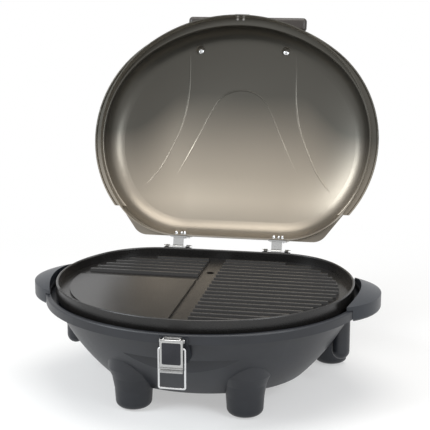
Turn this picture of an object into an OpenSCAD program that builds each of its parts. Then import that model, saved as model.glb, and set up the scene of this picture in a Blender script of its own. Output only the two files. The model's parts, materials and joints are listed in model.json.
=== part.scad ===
// Electric indoor grill with a hinged lid, standing open.
// A D-shaped cast plate sits over a heating loop in a moulded bowl. The lid swings on two
// hinges at the straight back edge, and a toggle latch at the front holds it shut.
// Origin: on the table, under the middle of the plate's round part. X is to the right,
// Y to the back, Z up.

/* [Plate outline] */
// Width of the plate over its rim
plate_w = 440; // [400:1:530]
// How much larger the front arc's radius is than the side arcs'
front_gain = 50; // [40:5:60]
// Radius of the two back corners, which also sets how far back the straight edge lies
corner_r = 115; // [105:5:150]

/* [Bowl] */
// Height of the bowl's top edge above the table
bowl_h = 144; // [138:1:175]
// Gap between the plate and the bowl's rim, where the lid's edge drops in
rim_gap = 8.5; // [7:0.5:14]
// Width of the rolled rim
rim_w = 6.5; // [5:0.5:10]
// Height of the rim band seen from outside
band_h = 13; // [11:1:18]
// Wall thickness of the moulded bowl
wall = 3; // [2.5:0.25:4]
// Radius of the curved bowl wall
wall_r = 340; // [320:5:400]
// Slope of the wall's normal under the rim, and at the floor
wall_a0 = 24; // [22:1:28]
wall_a1 = 45; // [40:1:46]
// Radius between the wall and the floor
floor_r = 14; // [10:1:16]
// Width of the ledge inside the rim that carries the plate
ledge_in = 8; // [7:0.5:9]

/* [Feet] */
// Places of the front and rear feet
front_foot_x = 80; // [60:1:95]
front_foot_y = -118; // [-125:1:-100]
rear_foot_x = 178; // [150:1:180]
rear_foot_y = 116; // [90:1:118]
// Radius of the flat under a foot and of its top
foot_r = 17; // [14:1:20]
foot_top_r = 36; // [32:1:38]
// Thickness of the rubber pads, and how far they stand out of the feet
pad_t = 4; // [3:0.5:6]
pad_out = 1.5; // [1:0.5:2]

/* [Side handles] */
// Width of the object over its handles
handle_span = 517; // [500:1:620]
// Radius of a handle's outer edge
handle_r = 86; // [76:1:95]
// Height of the grip's crown above the bowl's edge
grip_rise = 15; // [8:1:20]
// Thickness of the grip's rounded outer edge
grip_edge = 28; // [22:1:30]

/* [Plate] */
// Height of the plate's rim above the bowl's edge
plate_rise = 16; // [12:1:22]
// Wall thickness of the casting
plate_wall = 4; // [3.5:0.5:5]
// Depth from the rim to the cooking surface
plate_sink = 11; // [10:1:14]
// Pitch, width and height of the ridges
rib_pitch = 17; // [14:0.5:22]
rib_w = 8; // [5:0.5:10]
rib_h = 4.5; // [2.5:0.5:5]
// Distance of the ridge ends from the plate's outside
rib_inset = 22; // [18:1:28]
// Place and width of the fat channel
gutter_x = -6; // [-12:1:6]
gutter_w = 26; // [18:1:32]
// Line between the flat quarter and the ridged quarter
flat_y = 24; // [0:1:60]
// Distance of the drain hole from the plate's back edge, and its size
drain_back = 88; // [80:1:100]
drain_d = 12; // [8:1:16]

/* [Heating] */
// Diameter of the heating loop's tube
heater_d = 7; // [6:0.5:8.5]
// Distance of the loop from the plate's outline
heater_inset = 60; // [52:1:70]
// Height of the loop's centre under the bowl's edge
heater_drop = 11; // [11:0.5:14]
// Sheet thickness of the reflector pan
pan_t = 1.2; // [1:0.1:1.5]
// Height of the reflector pan's wall
pan_h = 21; // [18:1:24]
// Diameter and depth of the drip cup
cup_d = 58; // [50:1:66]
cup_h = 42; // [30:1:50]

/* [Power inlet] */
// Inside width and height of the inlet's socket
inlet_w = 58; // [50:1:70]
inlet_h = 26; // [24:1:28]
// Distance between the two pins, and their diameter
pin_gap = 34; // [28:1:40]
pin_d = 6; // [5:0.5:7]
// Diameter of the thermostat's sensing tube
probe_d = 9; // [7:0.5:10]

/* [Lid] */
// How far the lid stands open past upright
lid_lean = 18; // [5:1:22]
// Height of the dome's crown above the table with the lid shut
lid_top = 220; // [214:1:232]
// Sheet thickness
lid_t = 1.6; // [1.2:0.1:2]
// Radius of the dome's shoulder and of its crown
dome_r1 = 45; // [40:1:50]
dome_r2 = 260; // [240:5:290]
// How far the flange stands out of the dish, and how far ahead of the back edge it ends
flange_out = 8; // [5:0.5:9]
flange_back = 46; // [40:1:60]
// Radius of the rolled lip inside the flange
lip_r = 3; // [2:0.5:3.5]
// Distance between the skirt and the plate
skirt_gap = 1.9; // [1.5:0.1:2.5]
// How far the lid's skirt stands over the bowl's edge when it is shut
lid_gap = 1.5; // [1:0.25:3]

/* [Lid handle] */
// Distance between its screws, and their distance from the plate's front
grip_screws = 146; // [130:1:156]
screw_back = 45; // [42:1:52]
// Width, thickness and depth of the bar
grip_w = 204; // [192:1:230]
grip_t = 13; // [10:1:18]
grip_d = 24; // [20:1:28]
// Clear height of the bar over its seats on the lid
grip_gap = 15; // [12:1:24]

/* [Hinges] */
// Distance of each hinge from the middle
hinge_x = 81; // [70:1:84]
// Width of a hinge
hinge_w = 40; // [36:1:46]
// Distance of the hinge line behind the bowl's rim and above the bowl's edge
hinge_back = 8; // [7:0.5:11]
hinge_up = 10; // [8:0.5:13]
// Sheet thickness of the leaves and diameter of the pins
leaf_t = 2; // [1.5:0.25:2.5]
hinge_pin_d = 4; // [3:0.5:4.5]

/* [Latch] */
// Width and length of the lever
lever_w = 31; // [26:1:38]
lever_l = 42; // [36:1:50]
// Length of the wire loop from its pivots to its crossbar
bail_l = 55; // [50:1:62]
// Diameter of the wire
wire_d = 2.8; // [2:0.2:3.2]

/* [Fits] */
// Running clearance of pins, on the radius
run_fit = 0.06; // [0.02:0.01:0.1]
// Clearance between fixed parts that drop into each other
fixed_fit = 0.3; // [0.2:0.05:0.5]

/* [Hidden] */
$fn = 96;
eps = 0.01;
far = 2000;

// The arcs of the D outline meet in these directions, which keep their centres in whole numbers
front_dir = [0.6, -0.8];
corner_dir = [0.8, 0.6];

// Outline of the plate: a front arc, two side arcs and two back corners, each tangent to the next
side_c = [0.6 * front_gain, 0];
front_c = [0, 0.8 * front_gain];
side_r = plate_w / 2 - side_c.x;
front_r = side_r + front_gain;
corner_c = side_c + (side_r - corner_r) * corner_dir;
front_y = front_c.y - front_r;
back_y = corner_c.y + corner_r;
core_off = 8 - corner_r;
plate_d = [side_c, side_r, front_c, front_r, corner_c, corner_r, back_y];

// Outline of the lid's dish, in the same form, with its own corner of a larger radius
lid_c = [48, 0];
lid_r = plate_w / 2 - 40;
lid_gain = 80;
lid_corner_r = 140;
lid_corner = lid_c + (lid_r - lid_corner_r) * corner_dir;
lid_back = lid_corner.y + lid_corner_r;
lid_front = 0.8 * lid_gain - lid_r - lid_gain;
lid_core = 8 - lid_corner_r;
lid_d = [lid_c, lid_r, [0, 0.8 * lid_gain], lid_r + lid_gain, lid_corner, lid_corner_r, lid_back];
// Tighter corner of the thin edge behind the flange
tight_r = 26;
tight_c = [(0.8 * lid_c.x + lid_r - tight_r - 0.6 * (lid_back - tight_r)) / 0.8, lid_back - tight_r];

// Heights
rim_out = rim_gap + rim_w;
ledge_z = bowl_h - band_h;
plate_top = bowl_h + plate_rise;
plate_foot = bowl_h - 4;
plate_under = bowl_h - 2;
cook_z = plate_top - plate_sink;
channel_z = plate_under + plate_wall;
rib_base = cook_z - 2;
heater_z = bowl_h - heater_drop;
pan_z = ledge_z - pan_h - 2;
pan_off = -19;

// Curved wall of the bowl: its upper end is under the rim, and its lower end meets the floor's radius
wall_top_z = ledge_z + wall;
wall_cx = 3 - wall_r * cos(wall_a0);
wall_cz = wall_top_z + wall_r * sin(wall_a0);
floor_cx = wall_cx + (wall_r - floor_r) * cos(wall_a1);
floor_cz = wall_cz - (wall_r - floor_r) * sin(wall_a1);
floor_z = floor_cz - floor_r;
latch_pad_y = front_y - rim_out - 1.5;
recess_y = front_y + 31;
recess_z = bowl_h - 46;

// Posts and screws inside the bowl
pan_post_x = 118;
pan_post_y = 62;
pan_post_r = 5.5;
handle_screw_y = 34;
handle_screw_z = ledge_z + 6.5;
handle_c = handle_span / 2 - handle_r;

// Hinge line, and the lid when it is shut
hinge_y = back_y + rim_out + hinge_back;
hinge_z = bowl_h + hinge_up;
hinge_pad_y = back_y + rim_out;
lid_z = bowl_h + lid_gap;
skirt_off = skirt_gap + lid_t;
// Underside of the flange, which clears the plate's rim and the side grips
step_z = plate_top + 2;
flange_z = step_z + lid_t;
flange_y = lid_back - flange_back;
// Centres of the dome's two arcs, seen from the dish's wall
dome_gap = dome_r2 - dome_r1;
dome_rise = 0.952558 * dome_gap;
dome_c1 = [-dome_r1, lid_top - dome_r2 + dome_rise];
dome_c2 = [-dome_r1 - 0.304353 * dome_gap, lid_top - dome_r2];
seat_z = lid_top - 9;
leaf_y = lid_back;
leaf_h = 33;
lid_open = 90 + lid_lean;
knuckle_r = hinge_pin_d / 2 + 2.5;
ear_w = 6;
// Bolts of a moving leaf: distance from the hinge's middle, and height over the lid's edge
bolt_spots = [[-7, 22], [7, 22], [0, 31]];
tongue_w = hinge_w - 2 * ear_w - 11;
lid_leaf_w = hinge_w - 13;

// Lid handle
screw_y = front_y + screw_back;
grip_y = front_y - 8;
grip_z = seat_z + grip_gap;

// Latch: the lever turns on the bracket's pin, and the wire loop turns in the lever
lever_y = latch_pad_y - 6;
lever_z = bowl_h - 6;
lever_t = 1.2;
bail_y = lever_y - 2.5;
bail_z = lever_z - 9.5;
lever_pin_d = 3;
ear_x = lever_w / 2 - lever_t - 2.3;
bail_bend = 2;
bail_x = lever_w / 2 + 0.2 + bail_bend;
catch_z = lid_z + 29;

// Power inlet, drain and cup
drain_y = back_y - drain_back;
cup_y = drain_y - 10;
inlet_z = ledge_z - inlet_h / 2 - 4;
inlet_y = back_y - 24;
plug_t = 14;

// Keeps what lies between two directions from a centre
module between(centre, d0, d1) {
    intersection() {
        translate(centre) children();
        translate([centre.x, centre.y, -far])
            linear_extrude(2 * far)
                polygon([[0, 0], far * d0, far * (d0 + d1), far * d1]);
    }
}

// Right half of a D outline, moved outward by off. The shape d lists side centre and radius,
// front centre and radius, corner centre and radius, and the straight back edge.
module half_outline(off, d) {
    translate(d[2]) slice(d[3] + off, [0, -1], front_dir);
    translate(d[0]) slice(d[1] + off, front_dir, corner_dir);
    translate(d[4]) slice(d[5] + off, corner_dir, [0, 1]);
    polygon([d[2], d[0], d[4], [d[4].x, d[6] + off], [0, d[6] + off]]);
}

// Slice of a disc between two directions
module slice(r, d0, d1) {
    intersection() {
        circle(r);
        polygon([[0, 0], far * d0, far * (d0 + d1), far * d1]);
    }
}

// A whole D outline, moved outward by off
module outline(off, d = plate_d) {
    half_outline(off, d);
    mirror([1, 0]) half_outline(off, d);
}

// A slab of a D outline between two heights
module slab(off, z0, z1, d = plate_d) {
    translate([0, 0, z0]) linear_extrude(z1 - z0) outline(off, d);
}

// Carries a section once round a D outline. The section's X is the distance outward.
module along_outline(d = plate_d) {
    between(d[2], [-front_dir.x, front_dir.y], front_dir)
        rotate_extrude() translate([d[3], 0]) children();
    both_sides() {
        between(d[0], front_dir, corner_dir)
            rotate_extrude() translate([d[1], 0]) children();
        between(d[4], corner_dir, [0, 1])
            rotate_extrude() translate([d[5], 0]) children();
    }
    translate([-d[4].x, d[6], 0])
        rotate([90, 0, 90])
            linear_extrude(2 * d[4].x) children();
}

// Two copies, one on each side
module both_sides() {
    children();
    mirror([1, 0, 0]) children();
}

// Half width of the D outline at a given depth y
function half_width(y, off) =
    y < front_dir.y * (side_r + off)
        ? sqrt(max(0, pow(front_r + off, 2) - pow(y - front_c.y, 2)))
        : y < corner_dir.y * (side_r + off)
            ? side_c.x + sqrt(pow(side_r + off, 2) - y * y)
            : corner_c.x + sqrt(max(0, pow(corner_r + off, 2) - pow(y - corner_c.y, 2)));

// A cylinder along X, centred on the middle
module rod_x(d, len) {
    rotate([0, 90, 0]) cylinder(d = d, h = len, center = true);
}

// A cylinder along Y from the origin backward
module rod_y(d, len) {
    rotate([-90, 0, 0]) cylinder(d = d, h = len);
}

// Swings its children, drawn with the lid shut, to the open lid
module on_lid() {
    translate([0, hinge_y, hinge_z])
        rotate([-lid_open, 0, 0])
            translate([0, -hinge_y, -hinge_z]) children();
}

// Filled section of the bowl, thinner by inset
module bowl_section(inset) {
    seam_z = wall_cz - (wall_r - inset) * sin(wall_a1);
    intersection() {
        translate([wall_cx, wall_cz]) circle(wall_r - inset, $fn = 180);
        translate([core_off, seam_z]) square([far, wall_top_z - seam_z]);
    }
    intersection() {
        translate([floor_cx, floor_cz]) circle(floor_r - inset);
        translate([floor_cx, floor_z]) square([far, seam_z - floor_z]);
    }
    translate([core_off, floor_z + inset])
        square([floor_cx - core_off, seam_z - floor_z - inset]);
}

// Rim of the bowl: the ledge, the band outside it and the flange at its top
module rim_section() {
    edge = 2.5;
    translate([-ledge_in, ledge_z]) square([rim_out + ledge_in, wall]);
    difference() {
        translate([rim_gap, ledge_z]) square([rim_w, band_h]);
        translate([rim_gap - 1, ledge_z - 1]) square([rim_w + 1 - wall, band_h + 1 - wall]);
        translate([rim_out - edge, bowl_h - edge])
            difference() {
                square(edge + 1);
                circle(edge);
            }
    }
}

// Section of a foot: a rounded sole and a tapering shank
module foot_section(inset, r_top, z_top) {
    round_r = 9;
    waist = foot_r + round_r - inset;
    flare = r_top - foot_r - round_r;
    translate([0, pad_out]) {
        polygon([[0, inset], [foot_r, inset], [foot_r, round_r], [waist, round_r],
            [waist + 0.12 * flare, 28], [waist + 0.45 * flare, 46], [waist + flare, 60],
            [waist + flare, z_top], [0, z_top]]);
        intersection() {
            translate([foot_r, round_r]) circle(round_r - inset);
            translate([foot_r, 0]) square(round_r);
        }
    }
}

module each_front_foot() {
    both_sides() translate([front_foot_x, front_foot_y, 0]) children();
}

module each_rear_foot() {
    both_sides() translate([rear_foot_x, rear_foot_y, 0]) children();
}

module feet(inset) {
    each_front_foot() rotate_extrude() foot_section(inset, foot_top_r, 94);
    intersection() {
        each_rear_foot() rotate_extrude() foot_section(inset, foot_top_r - 7, ledge_z - inset);
        slab(rim_out - 1 - inset, 0, bowl_h);
    }
}

// Lug under each handle that stiffens the rim: an upright rod with a round lower end
module side_lugs(inset) {
    lug_r = 13;
    lug_low = 59;
    both_sides() translate([plate_w / 2 - 18, 4, lug_low]) {
        sphere(r = lug_r - inset);
        cylinder(r = lug_r - inset, h = ledge_z + 1 - inset - lug_low);
    }
}

// Solid pads under the rim for the latch and the hinges
module rim_pads(inset) {
    translate([-20 + inset, latch_pad_y + inset, ledge_z - 24])
        cube([40 - 2 * inset, 60, 25]);
    translate([-20 + inset, latch_pad_y + inset, ledge_z])
        cube([40 - 2 * inset, front_y - rim_gap - 0.5 - latch_pad_y, band_h - 3]);
    both_sides()
        translate([hinge_x - 22 + inset, hinge_pad_y - 50, ledge_z - 22])
            cube([44 - 2 * inset, 50 - inset, 23]);
}

module inlet_box(inset, y0, y1) {
    translate([inset - inlet_w / 2 - wall, y0, inlet_z - inlet_h / 2 - wall + inset])
        cube([inlet_w + 2 * wall - 2 * inset, y1 - y0, inlet_h + 2 * wall - 2 * inset]);
}

// Six blocks on the ledge that the plate stands on
module plate_rests() {
    for (a = [22, 158, 202, 338, 252, 288])
        intersection() {
            difference() {
                slab(-0.5, ledge_z + 1, plate_foot);
                slab(-6.5, ledge_z, plate_foot + 1);
            }
            rotate([0, 0, a]) translate([60, -8, 0]) cube([far, 16, far]);
        }
}

module base_bowl() {
    color("#3a3d42") {
        difference() {
            union() {
                along_outline() bowl_section(0);
                slab(core_off + 1, floor_z, wall_top_z);
                feet(0);
                side_lugs(0);
                rim_pads(0);
                inlet_box(0, inlet_y, back_y + 6);
                along_outline() rim_section();
            }
            difference() {
                union() {
                    along_outline() bowl_section(wall);
                    slab(core_off + 1, floor_z + wall, wall_top_z);
                    feet(wall);
                    side_lugs(wall);
                }
                // the ledge
                translate([0, 0, ledge_z]) difference() {
                    cube([far, far, 4 * wall], center = true);
                    slab(-ledge_in, -far, far);
                }
                inlet_box(0, inlet_y, far);
                // wall behind the crescent recess
                translate([-100, recess_y - 60, recess_z - 40])
                    cube([200, 60 + wall, 40 + wall]);
                // posts for the reflector pan
                for (x = [-1, 1], y = [-1, 1])
                    translate([x * pan_post_x, y * pan_post_y, 0])
                        cylinder(r = pan_post_r, h = pan_z);
            }
            slab(-ledge_in, ledge_z - 1, far);
            // crescent recess below the latch
            translate([-100, recess_y - 60, recess_z - 40]) cube([200, 60, 40]);
            // pilot holes in the posts
            for (x = [-1, 1], y = [-1, 1])
                translate([x * pan_post_x, y * pan_post_y, pan_z - 14])
                    cylinder(d = 2.8, h = 15);
            inlet_box(wall, inlet_y - 1, far);
            // pockets for the rubber pads
            for (p = [[front_foot_x, front_foot_y], [rear_foot_x, rear_foot_y]])
                both_sides()
                    translate([p.x, p.y, -1]) cylinder(r = foot_r - 3, h = pad_t + 1);
            // pilot holes for the bracket's rivets and the hinges' screws
            for (z = [4, 13])
                translate([0, latch_pad_y - 1, ledge_z - 20 + z]) rod_y(3.4, 9);
            both_sides()
                for (x = [-1, 1])
                    translate([hinge_x + x * 11, hinge_pad_y - 11, ledge_z - 9]) rod_y(4.2, 12);
            // holes for the side handles' screws
            both_sides()
                for (y = [-1, 1])
                    translate([plate_w / 2, y * handle_screw_y, handle_screw_z])
                        rod_x(4.4, 60);
        }
        plate_rests();
    }
}

module foot_pads() {
    color("#1c1c1e")
        for (p = [[front_foot_x, front_foot_y], [rear_foot_x, rear_foot_y]])
            both_sides()
                translate([p.x, p.y, 0]) cylinder(r = foot_r - 3 - fixed_fit / 2, h = pad_t);
}

// Section of a side handle, turned about an upright axis inside the bowl: a crown and a
// nearly upright outer edge. The hollow one is open at the bottom.
module grip_section(inset) {
    crown_r = 120;
    low = bowl_h - 17;
    edge_r = 5;
    intersection() {
        translate([40, bowl_h + grip_rise - crown_r]) circle(crown_r - inset);
        if (inset > 0) {
            translate([30, low - 1]) square([handle_r - inset - 30, grip_edge + 20]);
        } else {
            translate([30, low]) square([handle_r - edge_r - 30, grip_edge + 20]);
            translate([30, low + edge_r]) square([handle_r - 30, grip_edge]);
            translate([handle_r - edge_r, low + edge_r]) circle(edge_r);
        }
    }
}

module side_handle() {
    gap = 0.2;
    difference() {
        translate([handle_c, 0, 0]) rotate_extrude() grip_section(0);
        slab(rim_out + gap, 0, bowl_h + gap);
        slab(rim_gap + 1, 0, far);
        // hollow underside, leaving the wall against the rim and two screw bosses
        difference() {
            translate([handle_c, 0, 0]) rotate_extrude() grip_section(wall);
            slab(rim_out + gap + wall, 0, far);
            for (y = [-1, 1])
                translate([plate_w / 2, y * handle_screw_y, handle_screw_z])
                    rod_x(10, 2 * (rim_out + 14));
        }
        translate([-far, -far / 2, 0]) cube([far, far, far]);
        for (y = [-1, 1])
            translate([plate_w / 2, y * handle_screw_y, handle_screw_z])
                rod_x(3.2, 2 * (rim_out + 12));
    }
}

module handle_right() {
    color("#3b424c") side_handle();
}

module handle_left() {
    color("#3b424c") mirror([1, 0, 0]) side_handle();
}

module handle_screws() {
    // inner face of the rim band beside a screw
    face_x = half_width(handle_screw_y, rim_out - wall) - 1;
    color("#a8abae") both_sides()
        for (y = [-1, 1])
            translate([face_x, y * handle_screw_y, handle_screw_z]) {
                translate([-1.2, 0, 0]) rod_x(6.2, 2.4);
                translate([9, 0, 0]) rod_x(3.2, 18);
            }
}

// Reflector pan under the heating loop, with a hole for the drip cup
module reflector_pan() {
    color("#c9cbcd") difference() {
        slab(pan_off, pan_z, pan_z + pan_h);
        slab(pan_off - pan_t, pan_z + pan_t, far);
        translate([gutter_x, cup_y, 0]) cylinder(d = cup_d + 1, h = far);
        translate([-inlet_w / 2 - wall - 2, inlet_y - 14, 0])
            cube([inlet_w + 2 * wall + 4, far, far]);
        for (x = [-1, 1], y = [-1, 1])
            translate([x * pan_post_x, y * pan_post_y, 0]) cylinder(d = 3.6, h = far);
    }
}

module pan_screws() {
    color("#a8abae")
        for (x = [-1, 1], y = [-1, 1])
            translate([x * pan_post_x, y * pan_post_y, pan_z + pan_t]) {
                cylinder(d = 8, h = 2);
                translate([0, 0, -12]) cylinder(d = 2.8, h = 12.5);
            }
}

// Heating loop: follows the plate's outline, then both ends turn down and back to the inlet
module heating_element() {
    bend_r = 7.5;
    back = back_y - heater_inset;
    leg = pin_gap / 2;
    color("#4a4643") {
        between(front_c, [-front_dir.x, front_dir.y], front_dir)
            rotate_extrude() translate([front_r - heater_inset, heater_z]) circle(d = heater_d);
        both_sides() {
            between(side_c, front_dir, corner_dir)
                rotate_extrude() translate([side_r - heater_inset, heater_z]) circle(d = heater_d);
            between(corner_c, corner_dir, [0, 1])
                rotate_extrude() translate([corner_r - heater_inset, heater_z]) circle(d = heater_d);
            translate([leg + bend_r, back, heater_z])
                rotate([0, 90, 0]) cylinder(d = heater_d, h = corner_c.x - leg - bend_r);
            // down
            translate([leg + bend_r, back, heater_z - bend_r])
                rotate([90, 0, 0])
                    rotate_extrude(angle = 90, start = 90)
                        translate([bend_r, 0]) circle(d = heater_d);
            translate([leg, back, inlet_z + bend_r])
                cylinder(d = heater_d, h = heater_z - inlet_z - 2 * bend_r);
            // and back to the pin
            translate([leg, back + bend_r, inlet_z + bend_r])
                rotate([90, 0, 90])
                    rotate_extrude(angle = 90, start = 180)
                        translate([bend_r, 0]) circle(d = heater_d);
            translate([leg, back + bend_r, inlet_z])
                rod_y(heater_d, inlet_y - 10 - back - bend_r);
        }
    }
}

// A sheet clip: it stands on the pan, and the heating tube goes through its hole
module clip() {
    clip_w = heater_d + 10;
    foot_l = 10;
    base = pan_z + pan_t;
    difference() {
        union() {
            translate([-clip_w / 2, -1, base]) cube([clip_w, 2, heater_z - base]);
            translate([0, 1, heater_z]) rotate([90, 0, 0]) cylinder(d = clip_w, h = 2);
            translate([-clip_w / 2, -foot_l, base]) cube([clip_w, foot_l, 1.5]);
        }
        translate([0, 5, heater_z]) rotate([90, 0, 0]) cylinder(d = heater_d + 0.4, h = 10);
    }
}

module element_clips() {
    color("#b4b6b8") {
        both_sides() translate([plate_w / 2 - heater_inset, 0, 0]) clip();
        both_sides() translate([60, back_y - heater_inset, 0]) rotate([0, 0, -90]) clip();
        translate([0, front_y + heater_inset, 0]) rotate([0, 0, 90]) clip();
    }
}

// Drip cup that hangs by its flange in the pan's hole
module drip_cup() {
    top = pan_z + pan_t;
    t = 0.8;
    color("#c2c4c6") translate([gutter_x, cup_y, 0]) difference() {
        union() {
            translate([0, 0, top]) cylinder(d = cup_d + 10, h = 1);
            translate([0, 0, top - cup_h]) cylinder(d = cup_d, h = cup_h + 0.5);
        }
        translate([0, 0, top - cup_h + t]) cylinder(d = cup_d - 2 * t, h = cup_h + 5);
    }
}

// Insulating block in the inlet, with a flange against its inner end
module inlet_socket() {
    color("#26272a") difference() {
        union() {
            inlet_box(wall + fixed_fit, inlet_y - 1, inlet_y + plug_t);
            inlet_box(0.5, inlet_y - 4, inlet_y - 0.1);
        }
        for (x = [-1, 1])
            translate([x * pin_gap / 2, inlet_y - 5, inlet_z]) rod_y(pin_d + 0.2, 60);
        translate([0, inlet_y - 5, inlet_z + 3]) rod_y(probe_d + 0.2, 60);
        translate([0, inlet_y - 5, inlet_z - 8]) rod_y(pin_d - 0.8, 60);
    }
}

module inlet_pins() {
    tip = back_y + 2;
    color("#c8b070") {
        for (x = [-1, 1])
            translate([x * pin_gap / 2, inlet_y - 10, inlet_z]) {
                rod_y(pin_d, tip - inlet_y + 10 - pin_d / 2);
                translate([0, tip - inlet_y + 10 - pin_d / 2, 0]) sphere(d = pin_d);
            }
        translate([0, inlet_y - 8, inlet_z - 8]) rod_y(pin_d - 1, tip - inlet_y + 8);
    }
}

module probe_tube() {
    tip = back_y + 1;
    start = back_y - 52;
    color("#9a9c9e") difference() {
        translate([0, start, inlet_z + 3]) rod_y(probe_d, tip - start);
        translate([0, start + 2, inlet_z + 3]) rod_y(probe_d - 1.6, tip - start);
    }
}

// Section of the plate's wall, rounded at the top
module plate_wall_section() {
    translate([-plate_wall, plate_foot])
        square([plate_wall, plate_top - plate_wall / 2 - plate_foot]);
    translate([-plate_wall / 2, plate_top - plate_wall / 2]) circle(d = plate_wall);
}

// One ridge from x0 to x1, narrower and rounded at its top
module ridge(y, x0, x1) {
    top_w = rib_w * 0.62;
    translate([x0, y, rib_base - 0.5])
        rotate([90, 0, 90])
            linear_extrude(x1 - x0)
                polygon([[-rib_w / 2, 0], [rib_w / 2, 0], [top_w / 2, rib_h],
                    [top_w / 4, rib_h + 0.5], [-top_w / 4, rib_h + 0.5], [-top_w / 2, rib_h]]);
}

module grill_plate() {
    gut_l = gutter_x - gutter_w / 2;
    gut_r = gutter_x + gutter_w / 2;
    inner = -rib_inset;
    rib_count = floor((back_y - front_y - 2 * rib_inset - rib_w) / rib_pitch);
    rib_start = front_y + rib_inset + rib_w / 2 + 1;
    color("#2b2a29") difference() {
        union() {
            along_outline() plate_wall_section();
            slab(-plate_wall + 0.5, plate_under, channel_z);
            // flat quarter at the front left
            intersection() {
                slab(inner + 2, plate_under + 1, cook_z);
                translate([-far, -far, 0]) cube([far + gut_l, far + flat_y, far]);
            }
            // raised floor between the ridges
            intersection() {
                slab(inner, plate_under + 1, rib_base);
                union() {
                    translate([gut_r, -far / 2, 0]) cube([far, far, far]);
                    translate([-far, flat_y + 3, 0]) cube([far + gut_l, far, far]);
                }
            }
            for (i = [0 : rib_count]) {
                y = rib_start + i * rib_pitch;
                reach = min(half_width(y - rib_w / 2, inner), half_width(y + rib_w / 2, inner)) - 0.7;
                ridge(y, gut_r + 0.4, reach);
                if (y - rib_w / 2 > flat_y + 4) ridge(y, -reach, gut_l - 0.4);
            }
        }
        // drain
        translate([gutter_x, drain_y, 0]) cylinder(d = drain_d, h = far);
    }
}

// Filled section of the lid's dome, seen from the dish's wall, drawn shut
module dome_section(inset) {
    seam = -dome_r1 + 0.304353 * (dome_r1 - inset);
    low = inset > 0 ? step_z - 1 : step_z;
    translate([lid_core, low]) square([-inset - lid_core, dome_c1.y - low]);
    intersection() {
        translate(dome_c1) circle(dome_r1 - inset);
        translate(dome_c1 - [1, 0.5]) square(dome_r1 + 1);
    }
    intersection() {
        translate(dome_c2) circle(dome_r2 - inset, $fn = 180);
        translate([dome_c2.x, dome_c1.y - 0.5]) square([seam - dome_c2.x, dome_r2]);
    }
    translate([lid_core, dome_c1.y - 0.5])
        square([dome_c2.x - lid_core, lid_top - inset - dome_c1.y + 0.5]);
}

// Outline of the thin edge behind the flange, with its tighter corners
module edge_outline(off) {
    outline(off, lid_d);
    both_sides() {
        translate(tight_c) slice(tight_r + off, corner_dir, [0, 1]);
        polygon([[0, 0], lid_c + (lid_r + off) * corner_dir, tight_c + (tight_r + off) * corner_dir,
            tight_c, [tight_c.x, lid_back + off], [0, lid_back + off]]);
    }
}

// Keeps what lies ahead of a depth y
module ahead_of(y) {
    intersection() {
        children();
        translate([-far / 2, y - far, 0]) cube([far, far, far]);
    }
}

// Flat seats pressed out of the dome for the hinges and for the handle's feet
module lid_seats(inset) {
    both_sides() {
        translate([hinge_x - lid_leaf_w / 2 - 3 + inset, lid_back - 30, step_z])
            cube([lid_leaf_w + 6 - 2 * inset, 30 - inset, leaf_h - 12 - inset]);
        translate([grip_screws / 2, screw_y, seat_z - 25]) cylinder(d = 21 - 3 * inset, h = 25 - inset);
    }
}

module lid_shell() {
    bead = 1.8;
    color("#8d8778") on_lid() {
        difference() {
            union() {
                along_outline(lid_d) dome_section(0);
                slab(lid_core + 1, step_z, lid_top, lid_d);
                lid_seats(0);
                // flange and the thin edge behind it
                ahead_of(flange_y) {
                    slab(flange_out - 0.6, step_z, flange_z, lid_d);
                    along_outline(lid_d)
                        translate([flange_out - bead, flange_z - bead]) circle(bead);
                }
                translate([0, 0, step_z]) linear_extrude(lid_t) edge_outline(0);
                // skirt that drops in between the plate and the bowl's rim
                slab(skirt_off, lid_z, flange_z);
            }
            along_outline(lid_d) dome_section(lid_t);
            slab(lid_core + 1, step_z - 1, lid_top - lid_t, lid_d);
            lid_seats(lid_t);
            slab(skirt_gap, lid_z - 1, step_z);
            // holes for the handle screws, the hinge bolts and the catch rivets
            both_sides() {
                translate([grip_screws / 2, screw_y, seat_z - 8]) cylinder(d = 4.4, h = 20);
                for (p = bolt_spots)
                    translate([hinge_x + p.x, leaf_y - 10, lid_z + p.y]) rod_y(3.4, 20);
                translate([5, lid_front - flange_out + 4.5, step_z - 5]) cylinder(d = 3.4, h = 20);
            }
        }
        // rolled lip along the dish's lower edge
        ahead_of(flange_y)
            along_outline(lid_d) {
                translate([-lid_t + 0.1 - lip_r, step_z + lip_r]) circle(lip_r);
                translate([-lid_t + 0.1 - lip_r, step_z]) square([lip_r + 1, lid_t]);
            }
    }
}

// Bar of the lid's handle with its two arms, drawn with the lid shut
module lid_handle() {
    r = grip_t / 2;
    mid_z = grip_z + r;
    bar = grip_w - grip_t;
    color("#2c2622") on_lid() difference() {
        union() {
            // bar: two rounded edges and the web between them
            for (y = [-1, 1])
                translate([0, grip_y + y * (grip_d / 2 - r), mid_z]) {
                    rod_x(grip_t, bar);
                    both_sides() translate([bar / 2, 0, 0]) sphere(d = grip_t);
                }
            translate([-bar / 2, grip_y - grip_d / 2 + r, grip_z]) cube([bar, grip_d - grip_t, grip_t]);
            both_sides()
                translate([bar / 2, grip_y - grip_d / 2 + r, mid_z]) rod_y(grip_t, grip_d - grip_t);
            // arms back to the screws
            both_sides() {
                translate([grip_screws / 2 - 9, grip_y, grip_z + 2])
                    cube([18, screw_y - grip_y, grip_t - 4]);
                translate([grip_screws / 2, screw_y, seat_z])
                    cylinder(d = 18, h = grip_gap + grip_t - 2);
            }
        }
        both_sides()
            translate([grip_screws / 2, screw_y, seat_z - 1]) cylinder(d = 3.6, h = 18);
    }
}

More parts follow.
